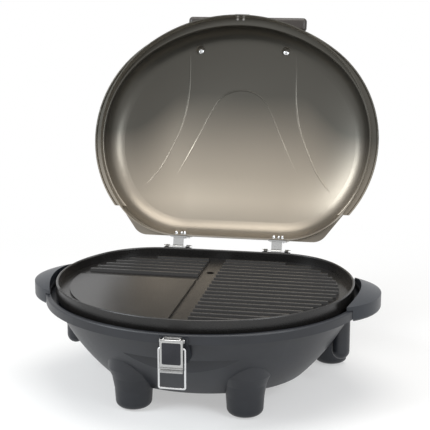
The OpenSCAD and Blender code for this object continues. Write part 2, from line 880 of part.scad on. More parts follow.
module lid_handle_screws() {
    color("#d8dadb") on_lid() both_sides()
        translate([grip_screws / 2, screw_y, seat_z]) {
            translate([0, 0, -lid_t - 2.5]) cylinder(d1 = 7, d2 = 10, h = 2.5);
            translate([0, 0, -lid_t - 0.5]) cylinder(d = 3.6, h = 16);
        }
}

// Fixed leaf: a plate on the bowl's back with an ear at each side of the knuckle
module base_leaf() {
    bore = hinge_pin_d + 2 * run_fit;
    difference() {
        union() {
            translate([-hinge_w / 2, hinge_pad_y, ledge_z - 20])
                cube([hinge_w, leaf_t, hinge_z - ledge_z + 14]);
            for (side = [-1, 1])
                translate([side * (hinge_w - ear_w) / 2, 0, 0]) {
                    translate([-ear_w / 2, hinge_pad_y, hinge_z - 7])
                        cube([ear_w, hinge_y - hinge_pad_y, 7 + knuckle_r - 1]);
                    translate([0, hinge_y, hinge_z]) rod_x(2 * knuckle_r, ear_w);
                }
        }
        translate([0, hinge_y, hinge_z]) rod_x(bore, far);
        for (x = [-1, 1])
            translate([x * 11, hinge_pad_y - 1, ledge_z - 9]) rod_y(4.4, 10);
    }
}

module hinge_base_leaves() {
    color("#c4c7c9") both_sides() translate([hinge_x, 0, 0]) base_leaf();
}

module hinge_base_screws() {
    color("#a8abae") both_sides()
        for (x = [-1, 1])
            translate([hinge_x + x * 11, hinge_pad_y + leaf_t, ledge_z - 9]) {
                rod_y(8, 2.2);
                translate([0, -leaf_t - 10, 0]) rod_y(4, 12.5);
            }
}

// Moving leaf: a plate on the lid's back skirt, a tongue and the middle knuckle
module lid_leaf() {
    skin = leaf_y;
    difference() {
        union() {
            translate([-lid_leaf_w / 2, skin, lid_z + 4]) cube([lid_leaf_w, leaf_t, leaf_h]);
            translate([-tongue_w / 2, skin, hinge_z - leaf_t / 2])
                cube([tongue_w, hinge_y - skin, leaf_t]);
            translate([0, hinge_y, hinge_z]) rod_x(2 * knuckle_r, tongue_w);
        }
        translate([0, hinge_y, hinge_z]) rod_x(hinge_pin_d + 2 * run_fit, far);
        for (p = bolt_spots)
            translate([p.x, skin - 1, lid_z + p.y]) rod_y(3.4, 10);
    }
}

module hinge_lid_leaves() {
    color("#c4c7c9") on_lid() both_sides() translate([hinge_x, 0, 0]) lid_leaf();
}

// Bolts through the leaf and the skirt, with acorn nuts inside the lid
module hinge_lid_bolts() {
    skin = leaf_y;
    color("#d8dadb") on_lid() both_sides()
        for (p = bolt_spots)
            translate([hinge_x + p.x, skin - lid_t, lid_z + p.y]) {
                translate([0, lid_t + leaf_t, 0]) rod_y(6.5, 1.8);
                translate([0, -3, 0]) rod_y(3, leaf_t + lid_t + 3.5);
                translate([0, -1, 0]) rod_y(6.8, 1);
                translate([0, -5, 0]) rod_y(5.6, 4.5);
                translate([0, -5, 0]) sphere(d = 5);
            }
}

module hinge_pins() {
    color("#d0d2d4") both_sides()
        translate([hinge_x, hinge_y, hinge_z]) {
            rod_x(hinge_pin_d, hinge_w + 4);
            for (side = [-1, 1])
                translate([side * (hinge_w / 2 + 1.6), 0, 0]) rod_x(2 * knuckle_r - 1, 2.6);
        }
}

// Catch on the flange's front that the wire loop hooks over
module latch_catch() {
    skin = lid_front - flange_out;
    color("#c4c7c9") on_lid() difference() {
        union() {
            translate([-12, skin, flange_z]) cube([24, 7, 1.5]);
            translate([-12, skin, flange_z]) cube([24, 1.5, catch_z - flange_z]);
            translate([-12, skin - 7, catch_z - 1.5]) cube([24, 8.5, 1.5]);
            translate([-12, skin - 7, catch_z - 1.5]) cube([24, 1.5, 6]);
        }
        both_sides() translate([5, skin + 4.5, flange_z - 1]) cylinder(d = 3.4, h = 4);
    }
}

module catch_rivets() {
    skin = lid_front - flange_out;
    color("#d8dadb") on_lid() both_sides()
        translate([5, skin + 4.5, step_z]) {
            translate([0, 0, -0.9]) cylinder(d = 4.2, h = 0.9);
            translate([0, 0, -0.5]) cylinder(d = 3, h = lid_t + 2.4);
            translate([0, 0, lid_t + 1.5]) cylinder(d = 4.8, h = 0.9);
        }
}

// Bracket of the latch: a plate on the pad under the rim with two ears for the pin
module latch_bracket() {
    color("#c4c7c9") difference() {
        union() {
            translate([-ear_x, latch_pad_y - 1.5, ledge_z - 20])
                cube([2 * ear_x, 1.5, lever_z + 4 - ledge_z + 20]);
            both_sides() {
                translate([ear_x - 1.5, lever_y, lever_z - 12])
                    cube([1.5, latch_pad_y - lever_y, 12 + 4]);
                translate([ear_x - 0.75, lever_y, lever_z]) rod_x(8, 1.5);
            }
        }
        translate([0, lever_y, lever_z]) rod_x(lever_pin_d + 2 * run_fit, far);
        for (z = [4, 13])
            translate([0, latch_pad_y - 5, ledge_z - 20 + z]) rod_y(3.4, 10);
    }
}

module bracket_rivets() {
    color("#d8dadb")
        for (z = [4, 13])
            translate([0, latch_pad_y - 1.5, ledge_z - 20 + z]) {
                rod_y(3, 8);
                translate([0, -1, 0]) rod_y(6, 1);
            }
}

// Lever: a channel with two cheeks and a curled finger end
module latch_lever() {
    front = lever_y - 6.5;
    low = lever_z + 4 - lever_l;
    color("#b9bcbf") difference() {
        union() {
            translate([-lever_w / 2, front, low]) cube([lever_w, lever_t, lever_l - 2]);
            both_sides() translate([lever_w / 2 - lever_t, 0, 0]) {
                translate([0, front, low + 8]) cube([lever_t, lever_y - front, lever_l - 8]);
                translate([lever_t / 2, lever_y, lever_z]) rod_x(8, lever_t);
                translate([lever_t / 2, bail_y, bail_z]) rod_x(9, lever_t);
            }
            // curled end
            difference() {
                translate([0, front + lever_t - 3.2, low]) rod_x(6.4, lever_w);
                translate([0, front + lever_t - 3.2, low]) rod_x(6.4 - 2 * lever_t, far);
                translate([-far / 2, front - 8, low]) cube([far, 8 + lever_t - 3.2, far]);
            }
        }
        translate([0, lever_y, lever_z]) rod_x(lever_pin_d + 2 * run_fit, far);
        translate([0, bail_y, bail_z]) rod_x(wire_d + 2 * run_fit, far);
    }
}

module lever_pin() {
    color("#d0d2d4") translate([0, lever_y, lever_z]) {
        rod_x(lever_pin_d, lever_w + 1);
        both_sides() translate([lever_w / 2 + 0.8, 0, 0]) rod_x(5, 1);
    }
}

// Wire loop: ends that turn into the lever's cheeks, two sides and the crossbar
module latch_bail() {
    r = bail_bend;
    low = bail_z - bail_l;
    stub = 3;
    color("#d0d2d4") translate([0, bail_y, 0]) {
        both_sides() {
            translate([bail_x - r - stub, 0, bail_z])
                rotate([0, 90, 0]) cylinder(d = wire_d, h = stub);
            translate([bail_x - r, 0, bail_z - r])
                rotate([90, 0, 0]) rotate_extrude(angle = 90, start = 0)
                    translate([r, 0]) circle(d = wire_d);
            translate([bail_x, 0, low + r]) cylinder(d = wire_d, h = bail_l - 2 * r);
            translate([bail_x - r, 0, low + r])
                rotate([90, 0, 0]) rotate_extrude(angle = 90, start = 270)
                    translate([r, 0]) circle(d = wire_d);
        }
        translate([0, 0, low]) rod_x(wire_d, 2 * (bail_x - r));
    }
}

base_bowl();
foot_pads();
handle_left();
handle_right();
handle_screws();
reflector_pan();
pan_screws();
heating_element();
element_clips();
drip_cup();
inlet_socket();
inlet_pins();
probe_tube();
grill_plate();
lid_shell();
lid_handle();
lid_handle_screws();
hinge_base_leaves();
hinge_base_screws();
hinge_lid_leaves();
hinge_lid_bolts();
hinge_pins();
latch_catch();
catch_rivets();
latch_bracket();
bracket_rivets();
latch_lever();
lever_pin();
latch_bail();
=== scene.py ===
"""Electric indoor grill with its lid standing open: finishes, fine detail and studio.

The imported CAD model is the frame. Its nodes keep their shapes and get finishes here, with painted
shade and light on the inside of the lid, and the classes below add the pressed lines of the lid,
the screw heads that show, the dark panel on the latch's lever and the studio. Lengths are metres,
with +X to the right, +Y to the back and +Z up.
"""

import json
import logging
import math
from collections.abc import Callable
from dataclasses import dataclass, field
from enum import Enum

import bmesh
import bpy
from mathutils import Matrix, Vector

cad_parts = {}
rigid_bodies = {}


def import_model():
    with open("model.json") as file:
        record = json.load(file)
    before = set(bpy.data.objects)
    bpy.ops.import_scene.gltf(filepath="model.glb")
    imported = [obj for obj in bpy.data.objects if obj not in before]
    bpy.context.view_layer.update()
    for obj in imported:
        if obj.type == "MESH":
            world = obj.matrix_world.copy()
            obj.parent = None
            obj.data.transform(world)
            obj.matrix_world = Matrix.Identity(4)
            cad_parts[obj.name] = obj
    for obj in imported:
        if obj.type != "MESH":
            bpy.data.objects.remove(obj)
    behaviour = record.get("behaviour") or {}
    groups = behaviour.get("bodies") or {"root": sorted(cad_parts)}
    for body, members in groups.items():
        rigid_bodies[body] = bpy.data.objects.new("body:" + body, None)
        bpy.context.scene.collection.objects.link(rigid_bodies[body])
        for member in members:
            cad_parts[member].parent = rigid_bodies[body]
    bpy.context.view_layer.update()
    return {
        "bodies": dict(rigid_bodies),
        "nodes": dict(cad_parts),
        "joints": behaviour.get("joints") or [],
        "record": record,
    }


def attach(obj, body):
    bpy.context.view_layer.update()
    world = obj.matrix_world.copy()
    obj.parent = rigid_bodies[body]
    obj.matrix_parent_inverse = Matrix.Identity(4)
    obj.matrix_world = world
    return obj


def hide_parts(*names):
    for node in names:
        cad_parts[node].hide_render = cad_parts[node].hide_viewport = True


logging.basicConfig(level=logging.INFO, format="%(name)s: %(message)s")
log = logging.getLogger("indoor_grill")

MM = 1000
SHARP_ANGLE = math.radians(38)
PATCH_SCALE = 14.0
PATCH_ENDS = (0.35, 0.65)
GRAIN_STRENGTH = 0.35
RIPPLE_SCALE = 60.0
RIPPLE_STRENGTH = 0.08
RIPPLE_DEPTH = 0.0004
LAMP_AIM = (0, 0.05, 0.2)
Colour = tuple[float, float, float]
Triple = tuple[float, float, float]


class Grain(Enum):
    """Surface grain of a finish."""

    MOULDED = "moulded"
    BRUSHED = "brushed"
    SPRAYED = "sprayed"
    POLISHED = "polished"


class NodeChain:
    """Small helper that adds shader nodes to one material."""

    def __init__(self, name: str) -> None:
        """Makes an empty node material.

        Args:
            name: Name of the material.
        """
        self.material = bpy.data.materials.new(name)
        self.material.use_nodes = True
        self.tree = self.material.node_tree
        self.shader = self.tree.nodes["Principled BSDF"]

    def node(self, kind: str, **values: object) -> bpy.types.Node:
        """Adds a node and sets its properties or input sockets.

        Args:
            kind: Blender's name for the node type.
            values: Properties, or input sockets with spaces written as underscores.

        Returns:
            The new node.
        """
        made = self.tree.nodes.new(kind)
        for key, value in values.items():
            if hasattr(made, key):
                setattr(made, key, value)
            else:
                made.inputs[key.replace("_", " ")].default_value = value
        return made

    def link(self, out: bpy.types.NodeSocket, into: bpy.types.NodeSocket) -> None:
        """Links two sockets."""
        self.tree.links.new(out, into)

    def coordinates(self, scale: Triple = (1, 1, 1)) -> bpy.types.NodeSocket:
        """Object coordinates in metres, stretched by a scale.

        Args:
            scale: Scale along X, Y and Z.

        Returns:
            The vector output.
        """
        where = self.node("ShaderNodeTexCoord")
        stretch = self.node("ShaderNodeMapping")
        stretch.inputs["Scale"].default_value = scale
        self.link(where.outputs["Object"], stretch.inputs["Vector"])
        return stretch.outputs["Vector"]

    def noise(
        self, scale: float, detail: float = 3, stretch: Triple = (1, 1, 1)
    ) -> bpy.types.NodeSocket:
        """Noise value over the object.

        Args:
            scale: Noise cells per metre.
            detail: Octaves.
            stretch: Scale along X, Y and Z.

        Returns:
            The factor output.
        """
        made = self.node("ShaderNodeTexNoise", Scale=scale, Detail=detail)
        self.link(self.coordinates(stretch), made.inputs["Vector"])
        return made.outputs["Fac"]

    def spread(self, value: bpy.types.NodeSocket, low: float, high: float) -> bpy.types.NodeSocket:
        """Maps a noise value, mostly 0.3 to 0.7, to a range.

        Args:
            value: Noise factor.
            low: Result at 0.3.
            high: Result at 0.7.

        Returns:
            The mapped value.
        """
        made = self.node("ShaderNodeMapRange")
        made.inputs["From Min"].default_value = 0.3
        made.inputs["From Max"].default_value = 0.7
        made.inputs["To Min"].default_value = low
        made.inputs["To Max"].default_value = high
        self.link(value, made.inputs["Value"])
        return made.outputs["Result"]

    def tint(
        self, value: bpy.types.NodeSocket, dark: Colour, light: Colour, low: float, high: float
    ) -> bpy.types.NodeSocket:
        """Blends two colours by a value.

        Args:
            value: Factor.
            dark: Colour at the low end.
            light: Colour at the high end.
            low: Factor of the dark colour.
            high: Factor of the light colour.

        Returns:
            The colour output.
        """
        ramp = self.node("ShaderNodeValToRGB")
        ends = ramp.color_ramp.elements
        ends[0].position, ends[1].position = low, high
        ends[0].color, ends[1].color = (*dark, 1), (*light, 1)
        self.link(value, ramp.inputs["Fac"])
        return ramp.outputs["Color"]

    def facing(self, way: Triple, full: float) -> bpy.types.NodeSocket:
        """How far a face of the object turns toward a direction at rest, from 0 to 1.

        Args:
            way: Unit direction.
            full: Cosine at which the result reaches 1.

        Returns:
            The value output.
        """
        where = self.node("ShaderNodeTexCoord")
        dot = self.node("ShaderNodeVectorMath", operation="DOT_PRODUCT")
        dot.inputs[1].default_value = way
        self.link(where.outputs["Normal"], dot.inputs[0])
        return self.ramp(dot.outputs["Value"], 0.0, full)

    def ramp(
        self,
        value: bpy.types.NodeSocket,
        low: float,
        high: float,
        top: float = 1.0,
        bottom: float = 0.0,
    ) -> bpy.types.NodeSocket:
        """Smooth step of a value.

        Args:
            value: The value.
            low: Where the step starts.
            high: Where it ends.
            top: What it reaches.
            bottom: What it starts from.

        Returns:
            The value output.
        """
        made = self.node("ShaderNodeMapRange", interpolation_type="SMOOTHSTEP")
        made.inputs["From Min"].default_value = low
        made.inputs["From Max"].default_value = high
        made.inputs["To Min"].default_value = bottom
        made.inputs["To Max"].default_value = top
        self.link(value, made.inputs["Value"])
        return made.outputs["Result"]

    def bump(self, height: bpy.types.NodeSocket, strength: float, depth: float) -> None:
        """Adds a bump over the bumps already on the shader.

        Args:
            height: Height value.
            strength: Strength of the bump.
            depth: Depth in metres.
        """
        made = self.node("ShaderNodeBump", Strength=strength, Distance=depth)
        self.link(height, made.inputs["Height"])
        before = self.shader.inputs["Normal"].links
        if before:
            self.link(before[0].from_socket, made.inputs["Normal"])
        self.link(made.outputs["Normal"], self.shader.inputs["Normal"])


def seen_directly(tree: bpy.types.NodeTree) -> bpy.types.NodeSocket:
    """Value that is 1 for camera, glossy and transmission rays, and 0 for all others.

    Args:
        tree: Node tree of a material or of the world.

    Returns:
        The value output.
    """
    path = tree.nodes.new("ShaderNodeLightPath")
    total = path.outputs["Is Camera Ray"]
    for ray in ("Is Glossy Ray", "Is Transmission Ray"):
        larger = tree.nodes.new("ShaderNodeMath")
        larger.operation = "MAXIMUM"
        tree.links.new(total, larger.inputs[0])
        tree.links.new(path.outputs[ray], larger.inputs[1])
        total = larger.outputs["Value"]
    return total


@dataclass(frozen=True)
class PaintedLidShade:
    """Painted shade and light on the inside of the lid: darker high up, at the sides and low down.

    Each zone is where it starts, where it is full and its share, on the lid as it stands open.
    """

    inward: Triple = (0.0, -0.951, 0.309)
    full_turn: float = 0.25
    painted_light_colour: Colour = (0.43, 0.375, 0.305)
    painted_shade_colour: Colour = (0.080, 0.076, 0.066)
    upper_zone: Triple = (0.2, 0.42, 1.0)
    side_zone: Triple = (0.1, 0.19, 0.3)
    lower_zone: Triple = (0.222, 0.18, 0.4)
    cloud_scale: float = 5.0
    cloud_share: float = 0.12

    def blend(self, chain: NodeChain, plain: bpy.types.NodeSocket) -> bpy.types.NodeSocket:
        """Lays the painted shade and light over a colour on the faces that look into the lid.

        Args:
            chain: The material being made.
            plain: Colour of the other faces.

        Returns:
            The colour output.
        """
        # painted light, the lighter colour, low in the middle; painted shade high up, at the sides
        # and low down
        inner = chain.tint(self._share(chain), self.painted_light_colour, self.painted_shade_colour, 0.0, 1.0)
        mix = chain.node("ShaderNodeMix", data_type="RGBA")
        chain.link(chain.facing(self.inward, self.full_turn), mix.inputs["Factor"])
        chain.link(plain, mix.inputs[6])
        chain.link(inner, mix.inputs[7])
        return mix.outputs[2]

    def _share(self, chain: NodeChain) -> bpy.types.NodeSocket:
        """How strongly painted shade darkens a place, from 0 to about 1.

        Args:
            chain: The material being made.

        Returns:
            The value output.
        """
        split = chain.node("ShaderNodeSeparateXYZ")
        chain.link(chain.coordinates(), split.inputs["Vector"])
        across = chain.node("ShaderNodeMath", operation="ABSOLUTE")
        chain.link(split.outputs["X"], across.inputs[0])
        zones = (
            (split.outputs["Z"], self.upper_zone),
            (across.outputs["Value"], self.side_zone),
            (split.outputs["Z"], self.lower_zone),
        )
        total, weight = chain.noise(self.cloud_scale, 1), self.cloud_share
        for value, zone in zones:
            add = chain.node("ShaderNodeMath", operation="MULTIPLY_ADD")
            add.inputs[1].default_value = weight
            chain.link(total, add.inputs[0])
            chain.link(chain.ramp(value, *zone), add.inputs[2])
            total, weight = add.outputs["Value"], 1.0
        return total


@dataclass(frozen=True)
class Finish:
    """One finish of the object."""

    name: str
    dark: Colour
    light: Colour
    metal: float
    gloss_low: float
    gloss_high: float
    grain: Grain
    grain_scale: float = 900.0
    grain_depth: float = 0.00006
    stretch: Triple = (1.0, 1.0, 1.0)
    # painted shade and light for the inside of the lid, where the finish has it
    tint: PaintedLidShade | None = None

    def _colour(self, chain: NodeChain) -> bpy.types.NodeSocket:
        """Colour of the finish, with its painted shade and light where it has one.

        Args:
            chain: The material being made.

        Returns:
            The colour output.
        """
        patches = chain.noise(PATCH_SCALE, 4)
        plain = chain.tint(patches, self.dark, self.light, *PATCH_ENDS)
        return self.tint.blend(chain, plain) if self.tint else plain

    def build(self) -> bpy.types.Material:
        """Makes the material.

        Returns:
            The node material.
        """
        chain = NodeChain(self.name)
        shader = chain.shader
        shader.inputs["Metallic"].default_value = self.metal
        chain.link(self._colour(chain), shader.inputs["Base Color"])
        grain = chain.noise(self.grain_scale, 2, self.stretch)
        chain.link(
            chain.spread(grain, self.gloss_low, self.gloss_high), shader.inputs["Roughness"]
        )
        if self.grain is not Grain.POLISHED:
            chain.bump(grain, GRAIN_STRENGTH, self.grain_depth)
        if self.grain is Grain.MOULDED:
            chain.bump(chain.noise(RIPPLE_SCALE, 2), RIPPLE_STRENGTH, RIPPLE_DEPTH)
        return chain.material


CHARCOAL = Finish(
    "charcoal_plastic", (0.009, 0.0105, 0.0145), (0.013, 0.015, 0.020), 0, 0.34, 0.46,
    Grain.MOULDED, 1400.0, 0.00005,
)
GRIP = Finish(
    "grip_plastic", (0.010, 0.013, 0.019), (0.014, 0.018, 0.025), 0, 0.32, 0.44,
    Grain.MOULDED, 1400.0, 0.00005,
)
BROWN = Finish(
    "dark_brown_plastic", (0.022, 0.017, 0.014), (0.032, 0.025, 0.021), 0, 0.3, 0.42,
    Grain.MOULDED, 1400.0, 0.00004,
)
RUBBER = Finish(
    "black_rubber", (0.012, 0.012, 0.012), (0.02, 0.02, 0.02), 0, 0.7, 0.85, Grain.MOULDED,
    900.0, 0.0001,
)
NONSTICK = Finish(
    "nonstick_coating", (0.008, 0.0075, 0.0072), (0.012, 0.011, 0.0105), 0.0, 0.24, 0.34,
    Grain.SPRAYED, 1100.0, 0.00012,
)
# its tint paints shade and light on the lid's inner faces
CHAMPAGNE = Finish(
    "champagne_metal", (0.30, 0.27, 0.22), (0.34, 0.31, 0.255), 0.8, 0.3, 0.38, Grain.SPRAYED,
    1500.0, 0.00001, tint=PaintedLidShade(),
)
STAINLESS = Finish(
    "stainless_steel", (0.403, 0.403, 0.403), (0.475, 0.475, 0.468), 1, 0.2, 0.36, Grain.BRUSHED,
    260.0, 0.00003, (1.0, 18.0, 18.0),
)
BRIGHT = Finish(
    "bright_steel", (0.578, 0.586, 0.595), (0.663, 0.663, 0.671), 1, 0.1, 0.18, Grain.POLISHED,
)
PLATED = Finish(
    "plated_screw", (0.4, 0.4, 0.4), (0.48, 0.48, 0.48), 1, 0.25, 0.4, Grain.SPRAYED, 1500.0,
)
PAN_SHEET = Finish(
    "pan_sheet", (0.62, 0.63, 0.64), (0.72, 0.73, 0.74), 1, 0.28, 0.42, Grain.BRUSHED, 200.0,
    0.00003, (1.0, 14.0, 14.0),
)
HEATER = Finish(
    "heater_tube", (0.05, 0.045, 0.043), (0.12, 0.1, 0.09), 0.8, 0.45, 0.65, Grain.SPRAYED,
    700.0, 0.00008,
)
BRASS = Finish("contact_brass", (0.5, 0.38, 0.16), (0.6, 0.47, 0.22), 1, 0.2, 0.32, Grain.POLISHED)
PHENOLIC = Finish(
    "inlet_phenolic", (0.012, 0.012, 0.013), (0.02, 0.02, 0.022), 0, 0.4, 0.55, Grain.MOULDED,
    900.0, 0.00006,
)
# very dark metal for the panel on the latch lever's face
DARK_PANEL_STEEL = Finish(
    "dark_panel_steel", (0.030, 0.031, 0.035), (0.045, 0.046, 0.052), 0.9, 0.24, 0.34, Grain.BRUSHED,
    260.0, 0.00003, (18.0, 18.0, 1.0),
)
FINISHES = {
    finish.name: finish
    for finish in (
        CHARCOAL, GRIP, BROWN, RUBBER, NONSTICK, CHAMPAGNE, STAINLESS, BRIGHT, PLATED, PAN_SHEET,
        HEATER, BRASS, PHENOLIC, DARK_PANEL_STEEL,
    )
}


@dataclass(frozen=True)
class SoftBox:
    """One square lamp aimed at the object."""

    name: str
    place: Triple
    side: float
    power: float
    colour: Colour

    def build(self) -> None:
        """Hangs the lamp."""
        data = bpy.data.lights.new(self.name, "AREA")
        data.shape = "SQUARE"
        data.size = self.side
        data.energy = self.power
        data.color = self.colour
        lamp = bpy.data.objects.new(self.name, data)
        lamp.location = self.place
        aim = Vector(LAMP_AIM) - Vector(self.place)
        lamp.rotation_euler = aim.to_track_quat("-Z", "Y").to_euler()
        bpy.context.collection.objects.link(lamp)


@dataclass
class Studio:
    """Floor, lamps and camera."""

    camera_place: Triple = (0.3293, -1.6655, 0.6602)
    azimuth: float = math.radians(10.69)
    pitch: float = math.radians(13.43)
    lens: float = 100.2
    sensor: float = 36.0
    floor_reach: float = 6.0
    floor_tone: float = 0.93
    floor_gloss: tuple[float, float] = (0.9, 0.1)
    white_fade: tuple[float, float] = (0.35, 1.1)
    white_near: float = 0.42
    world_light: float = 0.5
    boxes: tuple[SoftBox, ...] = (
        SoftBox("left_lamp", (-1.5, -1.0, 1.5), 0.9, 26.0, (0.9, 0.96, 1.0)),
        SoftBox("right_lamp", (1.5, -1.2, 1.25), 0.8, 17.0, (0.93, 0.97, 1.0)),
        SoftBox("top_lamp", (0.1, 0.1, 2.2), 1.5, 24.0, (1.0, 0.97, 0.92)),
    )

    def build(self) -> None:
        """Makes the whole studio."""
        self._floor()
        self._camera()
        self._lamps()
        bpy.context.scene.view_settings.view_transform = "Standard"
        log.info("studio built")

    def _floor(self) -> None:
        """Pale floor that keeps the object's shadow and meets the white background."""
        mesh = bpy.data.meshes.new("floor")
        reach = self.floor_reach
        mesh.from_pydata(
            [(-reach, -reach, 0), (reach, -reach, 0), (reach, reach, 0), (-reach, reach, 0)],
            [],
            [(0, 1, 2, 3)],
        )
        floor = bpy.data.objects.new("floor", mesh)
        bpy.context.collection.objects.link(floor)
        chain = NodeChain("white_floor")
        tone, (roughness, specular) = self.floor_tone, self.floor_gloss
        chain.shader.inputs["Base Color"].default_value = (tone, tone, tone, 1)
        chain.shader.inputs["Roughness"].default_value = roughness
        chain.shader.inputs["Specular IOR Level"].default_value = specular
        self._white_seen_from_afar(chain)
        mesh.materials.append(chain.material)

    def _white_seen_from_afar(self, chain: NodeChain) -> None:
        """Lets the floor run into the white background, while the object's shadow stays.

        Args:
            chain: The floor's material.
        """
        far = chain.node("ShaderNodeVectorMath", operation="LENGTH")
        chain.link(chain.coordinates(), far.inputs[0])
        fade = chain.ramp(far.outputs["Value"], *self.white_fade, bottom=self.white_near)
        share = chain.node("ShaderNodeMath", operation="MULTIPLY")
        chain.link(fade, share.inputs[0])
        chain.link(seen_directly(chain.tree), share.inputs[1])
        white = chain.node("ShaderNodeEmission", Strength=1.0)
        mix = chain.node("ShaderNodeMixShader")
        chain.link(share.outputs["Value"], mix.inputs["Fac"])
        chain.link(chain.shader.outputs["BSDF"], mix.inputs[1])
        chain.link(white.outputs["Emission"], mix.inputs[2])
        chain.link(mix.outputs["Shader"], chain.tree.nodes["Material Output"].inputs["Surface"])

    def _camera(self) -> None:
        """Camera at the photograph's viewing angle."""
        data = bpy.data.cameras.new("camera")
        data.sensor_width = self.sensor
        data.lens = self.lens
        camera = bpy.data.objects.new("camera", data)
        camera.location = self.camera_place
        camera.rotation_euler = (math.pi / 2 - self.pitch, 0, self.azimuth)
        bpy.context.collection.objects.link(camera)
        bpy.context.scene.camera = camera

    def _lamps(self) -> None:
        """World light and soft boxes."""
        world = bpy.data.worlds.new("world")
        bpy.context.scene.world = world
        world.use_nodes = True
        tree = world.node_tree
        mix = tree.nodes.new("ShaderNodeMixShader")
        tree.links.new(seen_directly(tree), mix.inputs["Fac"])
        shades = (tree.nodes["Background"], tree.nodes.new("ShaderNodeBackground"))
        for k, (shade, strength) in enumerate(zip(shades, (self.world_light, 1.0)), start=1):
            shade.inputs["Color"].default_value = (1, 1, 1, 1)
            shade.inputs["Strength"].default_value = strength
            tree.links.new(shade.outputs["Background"], mix.inputs[k])
        tree.links.new(mix.outputs["Shader"], tree.nodes["World Output"].inputs["Surface"])
        for box in self.boxes:
            box.build()


@dataclass
class Workshop:
    """Makes finishes once and puts finished pieces in the scene."""

    frame: dict
    built: dict[str, bpy.types.Material] = field(default_factory=dict)

    def material(self, name: str) -> bpy.types.Material:
        """Material of a finish, made once.

        Args:
            name: Name of the finish.

        Returns:
            The material.
        """
        if name not in self.built:
            self.built[name] = FINISHES[name].build()
        return self.built[name]

    def dress(self, *nodes: str) -> None:
        """Gives CAD nodes the finish of their slots.

        Args:
            nodes: Names of the nodes.
        """
        slots = {p["node"]: p["material_slot"] for p in self.frame["record"]["subparts"]}
        for name in nodes:
            node = self.frame["nodes"][name]
            node.data.materials.clear()
            node.data.materials.append(self.material(slots[name]))
            log.info("%s dressed in %s", name, slots[name])

    def put(
        self, name: str, shape: "Shape", slot: str, body: str, finish: str = ""
    ) -> bpy.types.Object:
        """Puts one new piece in the scene.

        Args:
            name: Name of the piece.
            shape: Its mesh.
            slot: The record's material slot.
            body: The body that it rides on.
            finish: Name of the finish, where it isn't the slot's own.

        Returns:
            The piece.
        """
        mesh = bpy.data.meshes.new(name)
        mesh.from_pydata([tuple(p) for p in shape.points], [], shape.faces)
        work = bmesh.new()
        work.from_mesh(mesh)
        bmesh.ops.recalc_face_normals(work, faces=work.faces)
        work.to_mesh(mesh)
        work.free()
        mesh.polygons.foreach_set("use_smooth", [True] * len(mesh.polygons))
        mesh.set_sharp_from_angle(angle=SHARP_ANGLE)
        mesh.materials.append(self.material(finish or slot))
        piece = bpy.data.objects.new(name, mesh)
        bpy.context.collection.objects.link(piece)
        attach(piece, body)
        log.info("%s: %d faces", name, len(mesh.polygons))
        return piece


@dataclass
class Shape:
    """Points and faces of a mesh in the making."""

    points: list[Vector] = field(default_factory=list)
    faces: list[tuple[int, ...]] = field(default_factory=list)

    def loft(self, rings: list[list[Vector]]) -> "Shape":
        """Joins closed rings of equal length with quads and closes both ends.

        Args:
            rings: The rings in order.

        Returns:
            This shape.
        """
        start = len(self.points)
        size = len(rings[0])
        for ring in rings:
            self.points.extend(ring)
        for row in range(len(rings) - 1):
            a, b = start + row * size, start + (row + 1) * size
            for k in range(size):
                nxt = (k + 1) % size
                self.faces.append((a + k, a + nxt, b + nxt, b + k))
        self.faces.append(tuple(range(start, start + size)))
        last = start + (len(rings) - 1) * size
        self.faces.append(tuple(range(last + size - 1, last - 1, -1)))
        return self

    def move(self, by: Callable[[Vector], Vector]) -> "Shape":
        """Moves every point by a function of the point."""
        self.points = [by(p) for p in self.points]
        return self

    def add(self, other: "Shape") -> "Shape":
        """Takes in another shape."""
        start = len(self.points)
        self.points.extend(other.points)
        self.faces.extend(tuple(k + start for k in face) for face in other.faces)
        return self


@dataclass(frozen=True)
class Screw:
    """A screw with a domed cross head, by the sizes of its head and shank."""

    head: float
    rise: float
    shank: float
    reach: float
    edge: float = 0.25
    dome: float = 2.6
    recess: float = 0.52
    arm: float = 0.22
    depth: float = 0.55
    slope: float = 0.35
    sides: int = 40

    def build(self) -> Shape:
        """Builds the screw with its head up along Z from the origin.

        Returns:
            The shape.
        """
        low = self.rise * self.edge
        profile = [(self.shank, -self.reach), (self.shank, 0.0), (self.head, 0.0), (self.head, low)]
        for k in range(1, 20):
            share = 1 - 0.05 * k
            curve = math.sqrt(max(0.0, 1 - share**self.dome))
            profile.append((self.head * share, self.rise * (self.edge + (1 - self.edge) * curve)))
        return Shape().loft([self._ring(*spot) for spot in profile])

    def _ring(self, radius: float, height: float) -> list[Vector]:
        """One ring of the screw, sunk where the cross recess is.

        Args:
            radius: Radius of the ring.
            height: Height of the ring.

        Returns:
            The ring's points.
        """
        recess = self.head * self.recess
        ring = []
        for k in range(self.sides):
            turn = 2 * math.pi * k / self.sides
            x, y = radius * math.cos(turn), radius * math.sin(turn)
            in_arm = min(abs(x), abs(y)) < recess * self.arm
            deep = 0.0
            if height > 0 and radius < recess and in_arm:
                deep = recess * self.depth * (1 - radius / recess) ** self.slope
            ring.append(Vector((x, y, height - deep)))
        return ring


@dataclass
class SubAssembly:
    """Base of the object's sub-assemblies."""

    shop: Workshop

    def build(self) -> None:
        """Builds and dresses the sub-assembly."""
        raise NotImplementedError


